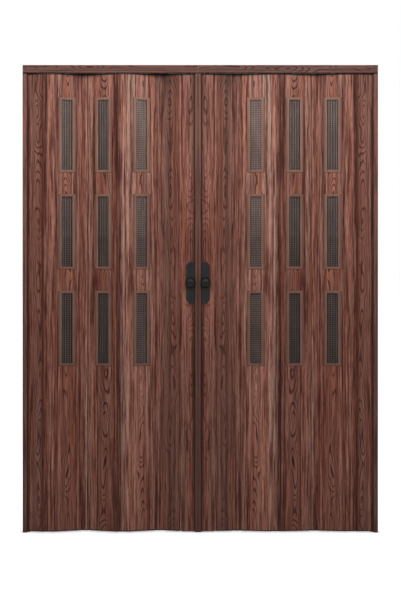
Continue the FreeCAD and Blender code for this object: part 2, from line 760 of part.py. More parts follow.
def make_knobs(name, leaf):
    """Front and back knobs, turned about the spindle, each with a square socket."""
    neck = "Sizes.knob_neck_radius"
    wide = "Sizes.knob_radius"
    under = f"({KNOB_FACE} + Sizes.knob_neck_length)"
    crown = f"({under} + Sizes.knob_depth)"
    body = make_body(name)
    sketch = make_sketch(body, "XY_Plane")
    for sign in ("-", ""):
        draw_outline(sketch, [
            ("0", f"{sign}{KNOB_FACE}"), (neck, f"{sign}{KNOB_FACE}"),
            (neck, f"{sign}{under}"), (wide, f"{sign}{under}"),
            (wide, f"{sign}{crown}"), ("0", f"{sign}{crown}"),
        ])
    turned = body.newObject("PartDesign::Revolution", name + "_turned")
    turned.Profile = sketch
    turned.ReferenceAxis = (sketch, ["V_Axis"])
    turned.Angle = 360
    seat = make_sketch(body, "XZ_Plane", minus(f"({KNOB_FACE} + Sizes.spindle_seat + Sizes.knob_gap)"))
    side = "(Sizes.spindle_side / 2 + Sizes.spindle_clearance)"
    draw_rectangle(seat, (minus(side), minus(side)), (side, side))
    pocket(body, seat, f"2 * ({KNOB_FACE} + Sizes.spindle_seat + Sizes.knob_gap)", reverse=True)
    place(body, knob_x(leaf), 0, number("Sizes.handle_height"), leaf.facing())


def make_spindle(name, leaf):
    half = f"({KNOB_FACE} + Sizes.spindle_seat)"
    side = "Sizes.spindle_side / 2"
    body = make_body(name)
    sketch = make_sketch(body, "XZ_Plane")
    draw_rectangle(sketch, (minus(side), minus(side)), (side, side))
    pad(body, sketch, f"2 * {half}", symmetric=True)
    place(body, knob_x(leaf), 0, number("Sizes.handle_height"), leaf.facing())


def make_latch_hook(name, leaf):
    """Hook on the spindle. It hangs down inside the stile and swings out by a quarter turn."""
    arm = "Sizes.hook_arm_width / 2"
    hub = "Sizes.hook_hub_radius"
    root = f"-sqrt({hub}^2 - ({arm})^2)"
    tip = minus(HOOK_REACH)
    body = make_body(name)
    sketch = make_sketch(body, "XZ_Plane")
    draw_outline(sketch, [
        (minus(arm), tip), (f"{arm} + Sizes.hook_nose", tip),
        (f"{arm} + Sizes.hook_nose", f"{tip} + Sizes.hook_nose_length"),
        (arm, f"{tip} + Sizes.hook_nose_length"),
        (arm, root, (("0", "0"), hub, True)), (minus(arm), root),
    ])
    side = "(Sizes.spindle_side / 2 + Sizes.spindle_clearance)"
    draw_rectangle(sketch, (minus(side), minus(side)), (side, side))
    pad(body, sketch, "Sizes.hook_thickness", symmetric=True)
    place(body, knob_x(leaf), 0, number("Sizes.handle_height"), leaf.facing())


def make_latch_keep(name, leaf):
    """Plate inside the post, behind the meeting face, with the slot that the hook catches."""
    half = "(Sizes.post_depth / 2 - Sizes.post_wall - Sizes.plug_clearance)"
    margin = "Sizes.keep_margin"
    low = f"-{HOOK_REACH} - {margin}"
    high = f"Sizes.hook_arm_width / 2 + {margin}"
    body = make_body(name)
    sketch = make_sketch(body, "YZ_Plane")
    draw_rectangle(sketch, (minus(half), low), (half, high))
    slot = "(Sizes.hook_thickness / 2 + Sizes.hook_side_clearance)"
    draw_rectangle(sketch, (minus(slot), f"-{HOOK_REACH} - Sizes.hook_end_clearance"),
                   (slot, "Sizes.hook_arm_width / 2 + Sizes.hook_end_clearance"))
    pad(body, sketch, "Sizes.keep_thickness")
    inner = leaf.post_start + number("Sizes.post_width - Sizes.post_wall - Sizes.keep_thickness")
    place(body, leaf.x(inner), 0, number("Sizes.handle_height"), leaf.facing())


# ---------------------------------------------------------------- assembly

def make_leaf(leaf):
    side = leaf.name
    make_track(f"track_{side}", leaf)
    make_jamb(f"jamb_{side}", leaf)
    make_slat(f"jamb_half_slat_{side}", leaf, 0, windows=False)
    for order in (1, 2, 3):
        make_slat(f"slat_{order}_{side}", leaf, order, windows=True)
        make_window_trims(f"window_trims_{order}_{side}", leaf, order)
        make_window_panes(f"window_panes_{order}_{side}", leaf, order)
        make_hanger(f"hanger_{order}_{side}", leaf, order)
        make_glider(f"glider_{order}_{side}", leaf, order)
    make_slat(f"lead_half_slat_{side}", leaf, 4, windows=False)
    for order in range(4):
        make_strip(f"strip_{order + 1}_{side}", leaf, order)
    make_lead_stile(f"lead_stile_{side}", leaf)
    make_lead_post(f"lead_post_{side}", leaf)
    make_stile_gliders(f"stile_gliders_{side}", leaf)
    make_handle_plates(f"handle_plates_{side}", leaf)
    make_knobs(f"knobs_{side}", leaf)
    make_spindle(f"knob_spindle_{side}", leaf)


make_leaf(left)
make_leaf(right)
make_latch_hook("latch_hook_left", left)
make_latch_keep("latch_keep_right", right)
doc.recompute()

for item in doc.Objects:
    if "Invalid" in item.State or "Error" in item.State:
        raise RuntimeError(f"{item.Label} failed: {item.State}")

os.makedirs("parts", exist_ok=True)
for label, item in parts.items():
    shape = item.Shape
    if shape.isNull() or not shape.isValid() or not shape.Solids:
        raise RuntimeError(f"{label} has no valid solid")
    shape.exportStep(f"parts/{label}.step")
print(f"{len(parts)} pieces, doorway {DOORWAY_WIDTH:.1f} mm wide")
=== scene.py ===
import json
import math
from collections import namedtuple
from dataclasses import dataclass
from functools import reduce

import bmesh
import bpy
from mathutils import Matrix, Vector


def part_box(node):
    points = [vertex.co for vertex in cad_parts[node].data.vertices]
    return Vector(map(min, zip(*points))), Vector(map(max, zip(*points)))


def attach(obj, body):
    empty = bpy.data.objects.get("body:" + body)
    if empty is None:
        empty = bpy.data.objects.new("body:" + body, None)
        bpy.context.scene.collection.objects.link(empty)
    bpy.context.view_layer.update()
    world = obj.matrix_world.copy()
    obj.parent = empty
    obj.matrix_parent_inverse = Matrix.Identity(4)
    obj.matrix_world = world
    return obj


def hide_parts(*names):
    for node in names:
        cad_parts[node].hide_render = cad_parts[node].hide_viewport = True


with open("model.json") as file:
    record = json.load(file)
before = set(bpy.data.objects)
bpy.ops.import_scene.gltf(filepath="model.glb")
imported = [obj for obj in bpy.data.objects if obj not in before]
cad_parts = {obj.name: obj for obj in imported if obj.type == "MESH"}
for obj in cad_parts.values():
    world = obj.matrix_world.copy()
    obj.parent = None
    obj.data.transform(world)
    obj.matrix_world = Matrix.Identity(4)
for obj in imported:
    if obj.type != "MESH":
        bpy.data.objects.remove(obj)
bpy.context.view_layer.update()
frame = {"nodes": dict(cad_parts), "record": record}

NODES = frame["nodes"]
BODY_OF = {node: body for body, nodes in frame["record"]["behaviour"]["bodies"].items() for node in nodes}
SIDES = {"left": 1.0, "right": -1.0}    # direction from the wall to the meeting line


# ---------------------------------------------------------------- colours

WHITE = (1.0, 1.0, 1.0, 1.0)


def linear(red, green, blue, level=1.0):
    """Linear colour from 0-255 display values, each of them times level."""
    out = []
    for value in (red, green, blue):
        value *= level / 255
        out.append(value / 12.92 if value <= 0.04045 else ((value + 0.055) / 1.055) ** 2.4)
    return (*out, 1.0)


# ---------------------------------------------------------------- node helpers

# stretched noise: spots per metre across and along the piece, shift of the seed, detail and roughness
Layer = namedtuple("Layer", "across along shift detail roughness")


class Graph:
    """Adds nodes to one shader tree and links them by socket."""

    def __init__(self, tree):
        self.tree = tree

    def put(self, socket, value):
        """Link a socket to another one, or give it a number or a colour."""
        if isinstance(value, bpy.types.NodeSocket):
            self.tree.links.new(value, socket)
        else:
            socket.default_value = value

    def math(self, operation, *values, clamp=False):
        node = self.tree.nodes.new("ShaderNodeMath")
        node.operation = operation
        node.use_clamp = clamp
        for socket, value in zip(node.inputs, values):
            self.put(socket, value)
        return node.outputs[0]

    def add(self, *values):
        return reduce(lambda first, second: self.math("ADD", first, second), values)

    def times(self, *values):
        return reduce(lambda first, second: self.math("MULTIPLY", first, second), values)

    def most(self, *values):
        return reduce(lambda first, second: self.math("MAXIMUM", first, second), values)

    def minus(self, first, second):
        return self.math("SUBTRACT", first, second)

    def over(self, first, second):
        return self.math("DIVIDE", first, second)

    def absolute(self, value):
        return self.math("ABSOLUTE", value)

    def clamped(self, value):
        return self.math("ADD", value, 0.0, clamp=True)

    def rise(self, value, start, length):
        """0 up to start, 1 from start + length on, and straight between."""
        return self.math("DIVIDE", self.minus(value, start), length, clamp=True)

    def between(self, low, high, factor):
        """low where the factor is 0, high where it is 1, and straight between."""
        return self.add(self.times(factor, high - low), low)

    def wave(self, value):
        """0 at every whole number and 1 halfway between them."""
        return self.times(self.math("PINGPONG", value, 0.5), 2.0)

    def join(self, x, y, z):
        node = self.tree.nodes.new("ShaderNodeCombineXYZ")
        for socket, value in zip(node.inputs, (x, y, z)):
            self.put(socket, value)
        return node.outputs[0]

    def noise(self, vector, detail, roughness=0.5):
        node = self.tree.nodes.new("ShaderNodeTexNoise")
        self.put(node.inputs["Vector"], vector)
        node.inputs["Scale"].default_value = 1.0
        node.inputs["Detail"].default_value = detail
        node.inputs["Roughness"].default_value = roughness
        return node.outputs[0]

    def layer(self, across, along, seed, layer):
        """Noise stretched along the piece; another seed gives another place of the same noise."""
        across = self.times(across, layer.across)
        along = self.times(along, layer.along)
        return self.noise(self.join(across, seed + layer.shift, along), layer.detail, layer.roughness)

    def ramp(self, factor, stops, smooth=False):
        """Colour or grey ramp; a stop is (position, grey) or (position, colour)."""
        node = self.tree.nodes.new("ShaderNodeValToRGB")
        ramp = node.color_ramp
        if smooth:
            ramp.interpolation = "EASE"
        while len(ramp.elements) < len(stops):
            ramp.elements.new(0.5)
        for element, (position, colour) in zip(ramp.elements, stops):
            element.position = position
            if isinstance(colour, (int, float)):
                colour = (colour, colour, colour, 1.0)
            element.color = colour
        self.put(node.inputs[0], factor)
        return node.outputs[0]

    def mix(self, factor, first, second, kind="MIX"):
        node = self.tree.nodes.new("ShaderNodeMix")
        node.data_type = "RGBA"
        node.blend_type = kind
        self.put(node.inputs[0], factor)
        self.put(node.inputs[6], first)
        self.put(node.inputs[7], second)
        return node.outputs[2]

    def dim(self, colour, brightness):
        """The colour times one brightness."""
        return self.mix(1.0, colour, self.join(brightness, brightness, brightness), "MULTIPLY")

    def seen_plainly(self):
        """1 for the camera, mirrors and glass, 0 for the light that falls on the object."""
        ray = self.tree.nodes.new("ShaderNodeLightPath").outputs
        return self.most(ray["Is Camera Ray"], ray["Is Glossy Ray"], ray["Is Transmission Ray"])


class Surface(Graph):
    """A Principled material; x, y and z are the place on the piece, in metres."""

    def __init__(self, name):
        self.material = bpy.data.materials.new(name)
        self.material.use_nodes = True
        super().__init__(self.material.node_tree)
        self.shader = self.tree.nodes["Principled BSDF"]
        where = self.tree.nodes.new("ShaderNodeTexCoord")
        split = self.tree.nodes.new("ShaderNodeSeparateXYZ")
        self.tree.links.new(where.outputs["Object"], split.inputs[0])
        self.x, self.y, self.z = split.outputs

    def across(self, middle, turn):
        """Place across a slat that is turned about its middle, in metres."""
        first = self.times(self.minus(self.x, middle.x), math.cos(turn))
        second = self.times(self.minus(self.y, middle.y), math.sin(turn))
        return self.add(first, second)

    def spots(self, per_metre, detail):
        """Noise with so many spots per metre along x, y and z."""
        scaled = [self.times(place, scale) for place, scale in zip((self.x, self.y, self.z), per_metre)]
        return self.noise(self.join(*scaled), detail)

    def shade_by_height(self, change, even_height):
        """Painted shade: brightness that is 1 at even_height and changes by so much per metre of height."""
        return self.add(self.times(self.z, change), 1.0 - change * even_height)

    def bump(self, height, strength, distance):
        node = self.tree.nodes.new("ShaderNodeBump")
        node.inputs["Strength"].default_value = strength
        node.inputs["Distance"].default_value = distance
        self.put(node.inputs["Height"], height)
        self.put(self.shader.inputs["Normal"], node.outputs[0])

    def set(self, **values):
        for name, value in values.items():
            self.put(self.shader.inputs[name.replace("_", " ")], value)


# ---------------------------------------------------------------- wood-grain foil

WOOD = [(0.0, linear(72, 29, 20)), (0.26, linear(104, 56, 45)), (0.55, linear(144, 91, 78)),
        (1.0, linear(194, 140, 124))]
LINE_WOOD = linear(50, 12, 4)
PLAIN_WOOD = linear(120, 88, 78)
TAUPE_TINT = (0.83, 1.0, 1.0, 1.0)
WARM_TINT = (1.0, 0.87, 0.72, 1.0)
CHANNEL_POWERS = (1.0, 1.3, 1.4)        # of a stripe's brightness: a dark stripe is redder too

WRAP = 0.35                             # shift of the print per metre of depth
WANDER = Layer(9.0, 2.3, 0.0, 2.5, 0.5)
WANDER_REACH = 0.012
BANDS = Layer(62.0, 1.2, 3.1, 2.0, 0.6)
STREAKS = Layer(190.0, 4.2, 7.7, 2.0, 0.6)
THREADS = Layer(370.0, 20.0, 11.3, 3.0, 0.65)
HUE = Layer(44.0, 0.6, 31.0, 2.0, 0.6)
BAND_SHARE = 0.25                       # shares of the layers in the tone
STREAK_SHARE = 0.38
THREAD_SHARE = 0.27
LEAST_TONE = 0.05
STRIPE_SHARE = 0.55                     # of a stripe's brightness in the tone
PORE_SHARE = 0.58                       # strengths of the dark lines
HAIR_SHARE = 0.24
RING_SHARE = 0.85
PLAIN_CALM = 0.6                        # how far an even print loses its lines

FIGURE_FIELD = Layer(17.0, 4.6, 19.0, 1.4, 0.45)
FIGURE_HALF_WIDTH = 0.030
FIGURE_GROUND = 0.66                    # tone between the lines of the figure
FIGURE_CALM = 0.60                      # how far the figure covers the other lines and tones
PRESENCE_ACROSS = 6.0                   # changes of the figure's strength per metre
PRESENCE_ALONG = 2.1
RING_HEIGHT = 13.0                      # rings between the low and the high places of the figure
RING_BOW = 4600.0                       # rings per square metre: they crowd and straighten at the sides

# end of a profile: height of its darker or lighter edge, length over which that fades, and brightness
Edge = namedtuple("Edge", "height fade brightness")
# painted shadow of the track on each profile's head
HEAD_PAINTED_SHADOW = Edge(0.0050, 0.0020, 0.14)
# painted shade along each profile's foot, where the gap over the floor is in shade
FOOT_PAINTED_SHADE = Edge(0.0008, 0.0014, 0.55)
BUTT_EDGE = Edge(0.0016, 0.0010, 1.55)      # of the track at the middle joint
HEAD_SHADE = Edge(0.030, 0.100, 0.72)       # soft shade under the track where the leaf stands back
SAWN_DEPTH = 0.0003
SEAM_HALF_WIDTH = 0.0022
LOWER_HALF_TOP = 0.85                   # up to here a profile has the painted shade of its lower half
HALVES_FADE = 0.75                      # height over which the lower half turns into the upper one


@dataclass
class Print:
    """Look of the foil on one kind of profile.

    tones are (place, brightness) across the profile, from its edge at the jamb (0) to its edge at
    the meeting line (1). Besides the print's stripes they hold painted shade: dark lines at the
    edges where the gaps between profiles are in shade, and painted highlights on some edges.
    """
    tones: list
    figure: float = 1.0         # strength of the cathedral figure
    figure_at: float = 0.0      # its middle, in metres from the profile's middle
    plain: float = 0.0          # how far the print goes towards one even grey-brown
    level: float = 1.0          # brightness
    lower: float = 1.0          # painted shade: brightness of the lower half against the upper one
    painted_head_shadow: bool = True      # whether the head has a painted shadow under the track
    shaded_head: bool = False   # whether the track's shade reaches further down


def cathedral_figure(m, bent, along, seed, look):
    """Dark lines of the cathedral figure, and how far the figure shows."""
    # contour lines of a slow height field, straight at the sides
    offset = m.minus(bent, look.figure_at)
    field = m.layer(offset, along, seed, FIGURE_FIELD)
    rings = m.add(m.times(field, RING_HEIGHT), m.times(offset, offset, RING_BOW))
    lines = m.ramp(m.wave(rings), [(0.0, 1.0), (0.18, 0.85), (0.40, 0.0)], smooth=True)
    # the figure fades towards the edges and comes and goes along the board
    distance = m.over(m.absolute(offset), FIGURE_HALF_WIDTH)
    inside = m.ramp(distance, [(0.60, 1.0), (1.0, 0.0)], smooth=True)
    place = m.join(seed + 2.0, m.times(offset, PRESENCE_ACROSS), m.times(along, PRESENCE_ALONG))
    presence = m.ramp(m.noise(place, 1.0), [(0.34, 0.45), (0.52, 1.0)])
    return lines, m.times(inside, presence, look.figure)


def foil_colour(m, bent, along, profile, seed, look):
    """Colour of the printed wood, its dark lines, and the fine grain that the relief needs.

    bent is the place across the wandering print, along the place along the profile, and profile
    runs from 0 to 1 across it.
    """
    bands = m.ramp(m.layer(bent, along, seed, BANDS), [(0.36, 0.0), (0.64, 1.0)])
    streaks = m.ramp(m.layer(bent, along, seed, STREAKS), [(0.40, 0.0), (0.60, 1.0)])
    fine = m.layer(bent, along, seed, THREADS)
    threads = m.ramp(fine, [(0.38, 0.0), (0.62, 1.0)])
    ring_lines, inside = cathedral_figure(m, bent, along, seed, look)
    calm = m.times(inside, FIGURE_CALM)

    # crisp pores and hair lines, quieter inside the figure
    pores = m.ramp(streaks, [(0.0, 1.0), (0.14, 0.7), (0.32, 0.0)])
    hair = m.ramp(fine, [(0.32, 1.0), (0.46, 0.0)])
    straight_lines = m.add(m.times(pores, PORE_SHARE), m.times(hair, HAIR_SHARE))
    straight_lines = m.times(straight_lines, m.minus(1.0, calm))
    lines = m.clamped(m.add(straight_lines, m.times(ring_lines, inside, RING_SHARE)))

    # light and dark stripes run the whole length of the profile: the print's own, and painted shade
    # and highlights at the edges; a ramp holds no value over 1
    stripes = m.times(m.ramp(profile, [(place, bright / 2) for place, bright in look.tones]), 2.0)
    tone = m.add(m.times(bands, BAND_SHARE), m.times(streaks, STREAK_SHARE),
                 m.times(threads, THREAD_SHARE), LEAST_TONE)
    tone = m.add(tone, m.times(m.minus(FIGURE_GROUND, tone), calm))
    tone = m.clamped(m.add(tone, m.times(m.minus(stripes, 1.0), STRIPE_SHARE)))

    # some bands are greyer and some more orange than the rest
    hue = m.layer(bent, along, seed, HUE)
    tint = m.ramp(hue, [(0.36, TAUPE_TINT), (0.50, WHITE), (0.64, WARM_TINT)])
    colour = m.mix(1.0, m.ramp(tone, WOOD), tint, "MULTIPLY")
    colour = m.mix(look.plain, colour, PLAIN_WOOD)
    colour = m.mix(m.times(lines, 1.0 - PLAIN_CALM * look.plain), colour, LINE_WOOD)
    by_channel = [m.math("POWER", stripes, power) for power in CHANNEL_POWERS]
    colour = m.mix(1.0, colour, m.join(*by_channel), "MULTIPLY")
    return colour, lines, fine


def foil(name, look, box, side, seed, ends, seam=None, upright=True):
    """Printed wood-grain foil on one profile that fills the box.

    side is 1, or -1 for a mirrored print. ends are (place along the profile, direction inwards,
    edge) of the ends that are darker or lighter than the rest, and seam is the place of a dark
    line across the profile. The dark heads and feet are painted shade, and so is the darker lower half.
    """
    m = Surface(name)
    low, high = box
    if upright:
        sideways, along, left, right = m.x, m.z, low.x, high.x
    else:
        sideways, along, left, right = m.z, m.x, low.z, high.z
    straight = m.times(m.minus(sideways, (left + right) / 2), side)
    profile = m.add(m.over(straight, right - left), 0.5)
    # the print wraps round the profile's sides and wanders a little on its way along
    across = m.add(straight, m.times(m.y, WRAP))
    wander = m.layer(across, along, seed, WANDER)
    bent = m.add(across, m.times(m.minus(wander, 0.5), WANDER_REACH))
    colour, lines, fine = foil_colour(m, bent, along, profile, seed, look)

    # painted shade: the lower half of the profile darker than the upper one
    painted_halves_shade = m.between(look.lower, 1.0, m.rise(along, LOWER_HALF_TOP, HALVES_FADE))
    brightness = m.times(painted_halves_shade, look.level)
    roughness = m.ramp(lines, [(0.0, 0.44), (1.0, 0.60)])
    # painted shade at the dark heads and feet; the track's end at the middle joint is lighter
    for place, inwards, edge in ends:
        depth = m.times(m.minus(along, place), inwards)
        clear = m.rise(depth, edge.height, edge.fade)
        brightness = m.times(brightness, m.between(edge.brightness, 1.0, clear))
        # sawn ends are matt
        roughness = m.most(roughness, m.math("LESS_THAN", depth, SAWN_DEPTH))
    if seam is not None:
        away = m.over(m.absolute(m.minus(along, seam)), SEAM_HALF_WIDTH)
        brightness = m.times(brightness, m.ramp(away, [(0.35, 0.45), (1.0, 1.0)]))
    m.set(Base_Color=m.dim(colour, brightness), Roughness=roughness, Specular_IOR_Level=0.15)
    m.bump(m.minus(m.times(fine, 0.5), lines), 0.25, 0.0006)
    return m.material


# ---------------------------------------------------------------- windows' materials

# the panes of one slat: their middle in x and y, the direction of their width, and their ends' heights
Window = namedtuple("Window", "middle turn heights")

TRIM_TAN = [(0.28, linear(120, 86, 71)), (0.5, linear(147, 107, 91)), (0.74, linear(170, 127, 109))]
TRIM_GRAIN = Layer(240.0, 14.0, 0.0, 3.0, 0.6)
TRIM_CLOUD = Layer(12.0, 5.0, 4.0, 2.0, 0.5)
TRIM_GRAIN_SHARE = 0.6
TRIM_CLOUD_SHARE = 0.4
TRIM_HALF_WIDTH = 0.040
TRIM_PAINTED_FALL = 0.30            # painted shade: change of brightness per metre of height
TRIM_EVEN_HEIGHT = 1.60     # height where a trim has its plain colour

PANE_WIDTH = 0.066
PANE_THICKNESS = 0.002
PANE_HALF_OPENING = 0.025
PANE_DARK = (40, 31, 28)
PANE_MID = (80, 66, 61)
PANE_PALE = (136, 124, 118)
PANE_CLOUD = Layer(30.0, 9.0, 0.0, 2.0, 0.5)
PANE_WEAR = Layer(260.0, 260.0, 5.0, 2.0, 0.5)
PANE_CLOUD_SHARE = 0.30
PANE_WEAR_SHARE = 0.10
PANE_GROUND = 0.33          # tone that every pane has
GROUND_LOSS = 0.14          # of it where the reeds stand out
RIB_SHARE = 0.22
RIB_LOSS = 0.12
REED_SHARE = 0.36
HOLLOW_SHARE = 0.13
# painted shade: panes darker towards the floor, by so much per metre of height
PANE_PAINTED_FALL = 0.55
PANE_EVEN_HEIGHT = 1.32
PAINTED_ROOM_BELOW = 1.285          # below this height a darker room seen through the panes is painted into them
PAINTED_ROOM_FADE = 0.02
REED_PITCH = 0.0110
REED_DEPTH = 0.0006
STEPS_PER_REED = 8
RIB_PITCH = 0.0095


def trim_plastic(name, seed, window):
    """Tan plastic, with a painted highlight along the opening's bevel and painted shade at the outer edge.
    """
    m = Surface(name)
    grain = m.layer(m.x, m.z, seed, TRIM_GRAIN)
    cloud = m.layer(m.x, m.z, seed, TRIM_CLOUD)
    tone = m.add(m.times(grain, TRIM_GRAIN_SHARE), m.times(cloud, TRIM_CLOUD_SHARE))
    out = m.over(m.absolute(m.across(window.middle, window.turn)), TRIM_HALF_WIDTH)
    # painted highlight along the bevel at the opening, painted shade at the outer edge
    edge = m.ramp(out, [(0.62, 0.92), (0.65, 1.0), (0.78, 0.98), (0.84, 0.74), (1.0, 0.66)])
    brightness = m.times(edge, m.shade_by_height(TRIM_PAINTED_FALL, TRIM_EVEN_HEIGHT))
    m.set(Base_Color=m.dim(m.ramp(tone, TRIM_TAN), brightness),
          Roughness=m.ramp(grain, [(0.3, 0.36), (0.7, 0.5)]), Specular_IOR_Level=0.22)
    m.bump(grain, 0.12, 0.0004)
    return m.material


def pane_plastic(name, seed, window, level, reeds):
    """Smoked pane. Its reeds run up and down in the mesh, and its cross ribs are in the bump.

    level is its brightness, and reeds is how far the reeds stand out against the ribs, from 0 to 1.
    Painted into its colour are shade that grows towards the floor, a darker room seen through its
    lower part, and the trim's shadow along its sides.
    """
    m = Surface(name)
    across = m.across(window.middle, window.turn)
    rib = m.ramp(m.wave(m.over(m.z, RIB_PITCH)), [(0.35, 0.0), (0.95, 1.0)], smooth=True)
    reed = m.ramp(m.wave(m.over(across, REED_PITCH)), [(0.30, 0.0), (0.95, 1.0)], smooth=True)
    cloud = m.layer(m.x, m.z, seed, PANE_CLOUD)
    wear = m.layer(m.x, m.z, seed, PANE_WEAR)
    tone = m.add(m.times(rib, RIB_SHARE - RIB_LOSS * reeds), m.times(reed, REED_SHARE * reeds),
                 m.times(cloud, PANE_CLOUD_SHARE), m.times(wear, PANE_WEAR_SHARE),
                 PANE_GROUND - GROUND_LOSS * reeds)
    # painted darker room behind the lower panes: there the hollows between the ribs stand out
    painted_dark_room = m.minus(1.0, m.rise(m.z, PAINTED_ROOM_BELOW, PAINTED_ROOM_FADE))
    tone = m.minus(tone, m.times(m.minus(1.0, rib), painted_dark_room, HOLLOW_SHARE))
    colour = m.ramp(tone, [(0.24, linear(*PANE_DARK, level)), (0.60, linear(*PANE_MID, level)),
                           (1.0, linear(*PANE_PALE, level))])
    # painted shadow of the trim along the pane's sides
    rim = m.ramp(m.over(m.absolute(across), PANE_HALF_OPENING), [(0.84, 1.0), (0.98, 0.45)])
    brightness = m.times(m.shade_by_height(PANE_PAINTED_FALL, PANE_EVEN_HEIGHT), rim)
    m.set(Base_Color=m.dim(colour, brightness), Roughness=m.ramp(cloud, [(0.3, 0.34), (0.7, 0.46)]),
          Transmission_Weight=0.04, IOR=1.45, Specular_IOR_Level=0.2)
    m.bump(m.add(rib, m.times(wear, 0.15)), 0.3, 0.0007)
    return m.material


# ---------------------------------------------------------------- other materials

PAINT_SPECKS = (900.0, 900.0, 900.0)
PAINT_CLOUD = Layer(30.0, 22.0, 0.0, 3.0, 0.5)
PAINT_CLOUD_SHARE = 0.7
PAINT_SPECK_SHARE = 0.3
PILE_GRAIN = (700.0, 700.0, 60.0)
PILE_DARK = 0.82
PILE_LIGHT = 1.12
NYLON_CLOUD = (160.0, 160.0, 160.0)
BRUSH_MARKS = (60.0, 60.0, 1500.0)


def black_metal(name, seed, level=1.0):
    """Black paint on the handles, a little cloudy and speckled."""
    m = Surface(name)
    speck = m.spots(PAINT_SPECKS, 2.0)
    cloud = m.layer(m.x, m.z, seed, PAINT_CLOUD)
    tone = m.add(m.times(cloud, PAINT_CLOUD_SHARE), m.times(speck, PAINT_SPECK_SHARE))
    colour = m.ramp(tone, [(0.3, linear(8, 8, 9, level)), (0.55, linear(15, 16, 17, level)),
                           (0.8, linear(26, 30, 31, level))])
    m.set(Base_Color=colour, Roughness=m.ramp(cloud, [(0.3, 0.34), (0.7, 0.50)]),
          Specular_IOR_Level=0.26 * level)
    m.bump(speck, 0.10, 0.0002)
    return m.material


def soft_plastic(name, shade):
    """Matt soft plastic or pile in one shade, a little mottled."""
    m = Surface(name)
    grain = m.spots(PILE_GRAIN, 2.0)
    m.set(Base_Color=m.ramp(grain, [(0.3, linear(*shade, PILE_DARK)), (0.7, linear(*shade, PILE_LIGHT))]),
          Roughness=m.ramp(grain, [(0.3, 0.6), (0.7, 0.8)]))
    m.bump(grain, 0.15, 0.0003)
    return m.material


def nylon(name):
    """Off-white nylon of the hangers and gliders."""
    m = Surface(name)
    cloud = m.spots(NYLON_CLOUD, 3.0)
    m.set(Base_Color=m.ramp(cloud, [(0.3, linear(198, 194, 184)), (0.7, linear(226, 223, 214))]),
          Roughness=m.ramp(cloud, [(0.3, 0.42), (0.7, 0.55)]), Subsurface_Weight=0.08)
    m.bump(cloud, 0.1, 0.0003)
    return m.material


def steel(name):
    """Brushed steel of the spindles, the hook and the keep."""
    m = Surface(name)
    brushed = m.spots(BRUSH_MARKS, 3.0)
    m.set(Base_Color=m.ramp(brushed, [(0.3, linear(150, 151, 153)), (0.7, linear(190, 191, 193))]),
          Roughness=m.ramp(brushed, [(0.3, 0.28), (0.7, 0.46)]), Metallic=1.0)
    m.bump(brushed, 0.08, 0.0002)
    return m.material


def assign(node, material):
    """Give a CAD node a better material."""
    for slot in NODES[node].material_slots:
        slot.material = material


# ---------------------------------------------------------------- pieces that replace plain nodes

WELD_DISTANCE = 1e-5
FLAT_ANGLE = math.radians(0.5)
SHARP_ANGLE = math.radians(28.0)
EDGE_SEGMENTS = 2
TRIM_EDGE = 0.0007
PLATE_EDGE = 0.0009
CORNER_REACH = 0.0012       # corners of a pane within this distance of its end belong to that end

KNOB_FOOT = 0.0113          # distance from the leaf's middle plane to the foot of the knob
KNOB_STEPS_AROUND = 48
# (radius, distance from the knob's foot): collar, neck and rolled underside
KNOB_NECK = [(0.0135, 0.0), (0.0135, 0.0014), (0.0122, 0.0024), (0.0090, 0.0030), (0.0078, 0.0044),
             (0.0080, 0.0060), (0.0088, 0.0072), (0.0104, 0.0081), (0.0150, 0.0086), (0.0200, 0.0088),
             (0.0221, 0.0096)]
KNOB_RIM = (0.0120, 0.0150)     # between these distances the knob has its full radius
CROWN_RADIUS = 0.0222
CROWN_FOOT = 0.0176
CROWN_STEPS = 8


def new_piece(name, bm, material, carrier):
    """Piece that rides on the carrier node's body."""
    bmesh.ops.recalc_face_normals(bm, faces=bm.faces)
    mesh = bpy.data.meshes.new(name)
    bm.to_mesh(mesh)
    bm.free()
    mesh.materials.append(material)
    piece = bpy.data.objects.new(name, mesh)
    bpy.context.scene.collection.objects.link(piece)
    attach(piece, BODY_OF[carrier])
    return piece


def stand_in(name, node, bm, material):
    """New piece that stands for a node, on the node's own body."""
    piece = new_piece(name, bm, material, node)
    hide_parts(node)
    return piece


def softened(node, width, material):
    """The node's own form with its sharp edges rounded."""
    bm = bmesh.new()
    bm.from_mesh(NODES[node].data)
    bmesh.ops.remove_doubles(bm, verts=bm.verts, dist=WELD_DISTANCE)
    bmesh.ops.dissolve_limit(bm, angle_limit=FLAT_ANGLE, verts=bm.verts, edges=bm.edges)
    for face in bm.faces:
        face.smooth = True
    piece = stand_in(f"{node}_finished", node, bm, material)
    bevel = piece.modifiers.new("edges", "BEVEL")
    bevel.width = width
    bevel.segments = EDGE_SEGMENTS
    bevel.limit_method = "ANGLE"
    bevel.angle_limit = SHARP_ANGLE
    smooth = piece.modifiers.new("flat_faces", "WEIGHTED_NORMAL")
    smooth.keep_sharp = True


def mean(points):
    return sum(points, Vector((0.0, 0.0))) / len(points)


def find_window(node):
    """Where the three panes of a slat are, from the node's own corners."""
    points = [vertex.co for vertex in NODES[node].data.vertices]
    first, last = min(p.x for p in points), max(p.x for p in points)
    left_end = mean([p.xy for p in points if p.x - first < CORNER_REACH])
    right_end = mean([p.xy for p in points if last - p.x < CORNER_REACH])
    turn = math.atan2(right_end.y - left_end.y, right_end.x - left_end.x)
    heights = sorted({round(p.z, 5) for p in points})
    return Window(mean([p.xy for p in points]), turn, heights)


